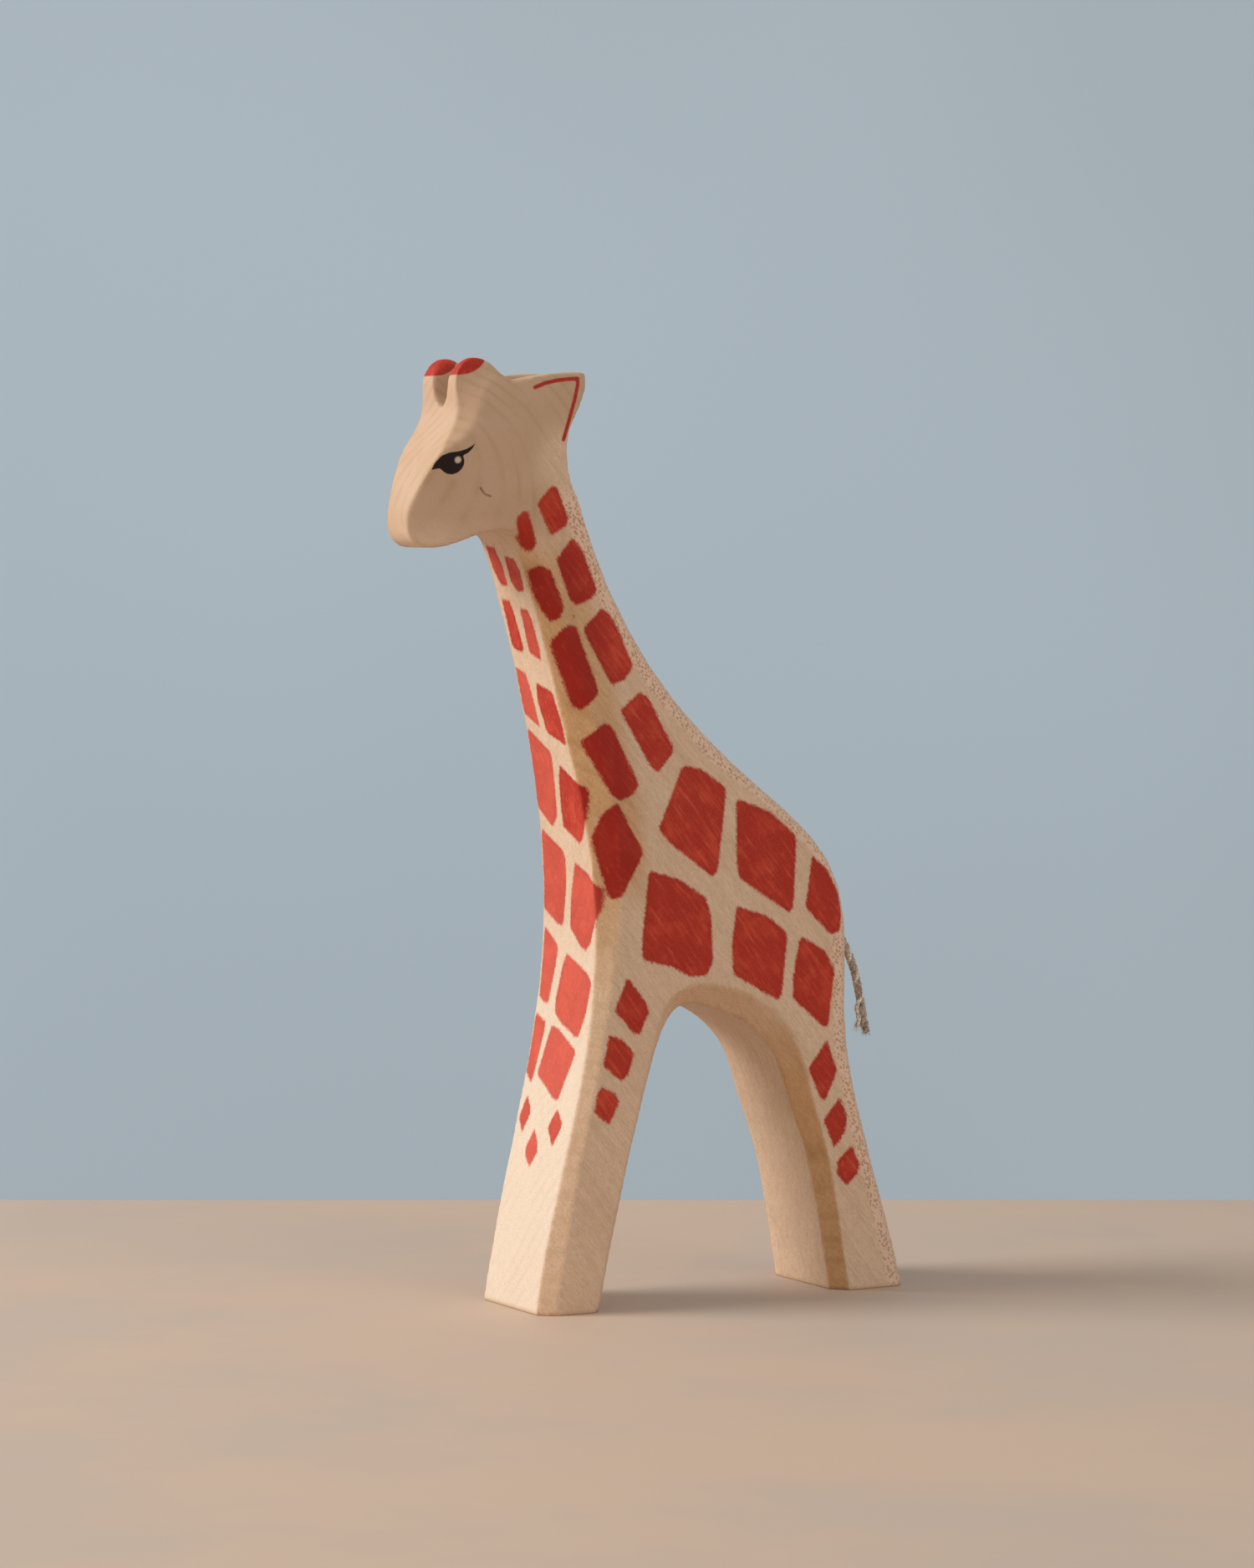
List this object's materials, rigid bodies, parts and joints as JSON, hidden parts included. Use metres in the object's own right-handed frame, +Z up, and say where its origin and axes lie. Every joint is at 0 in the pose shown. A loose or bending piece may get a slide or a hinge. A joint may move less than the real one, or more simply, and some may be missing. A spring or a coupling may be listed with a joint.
{
  "type": "carved giraffe statue",
  "caption": "Standing giraffe figure carved from one thick wooden plank, painted with red patches, on two slab legs, with a short cord tail glued into its rump.",
  "frame": {"origin": "under the middle of the figure, on the surface that its soles stand on", "axes": "+Z up; the giraffe faces -Y; +X is its left side, across the plank's thickness"},
  "size_m": [0.026, 0.1016, 0.175],
  "materials": {
    "painted_wood": "pale close-grained hardwood, sanded and oiled, with red water-based stain patches and a dark painted eye",
    "cord": "twisted grey-brown cotton cord with one pale ply, cut end frayed",
    "wood_glue": "dried wood glue"
  },
  "bodies": {
    "figure": {"carving": "painted_wood", "tail_root": "cord", "socket_glue": "wood_glue"},
    "tail": {"tail_cord": "cord"}
  },
  "joints": [
    {"name": "tail_lift", "type": "hinge", "parent": "figure", "child": "tail", "pos_m": [0, 0.0374, 0.0725], "axis": [1, 0, 0], "range_deg": [-12, 45], "stiffness_Nm_per_rad": 0.0001}
  ]
}
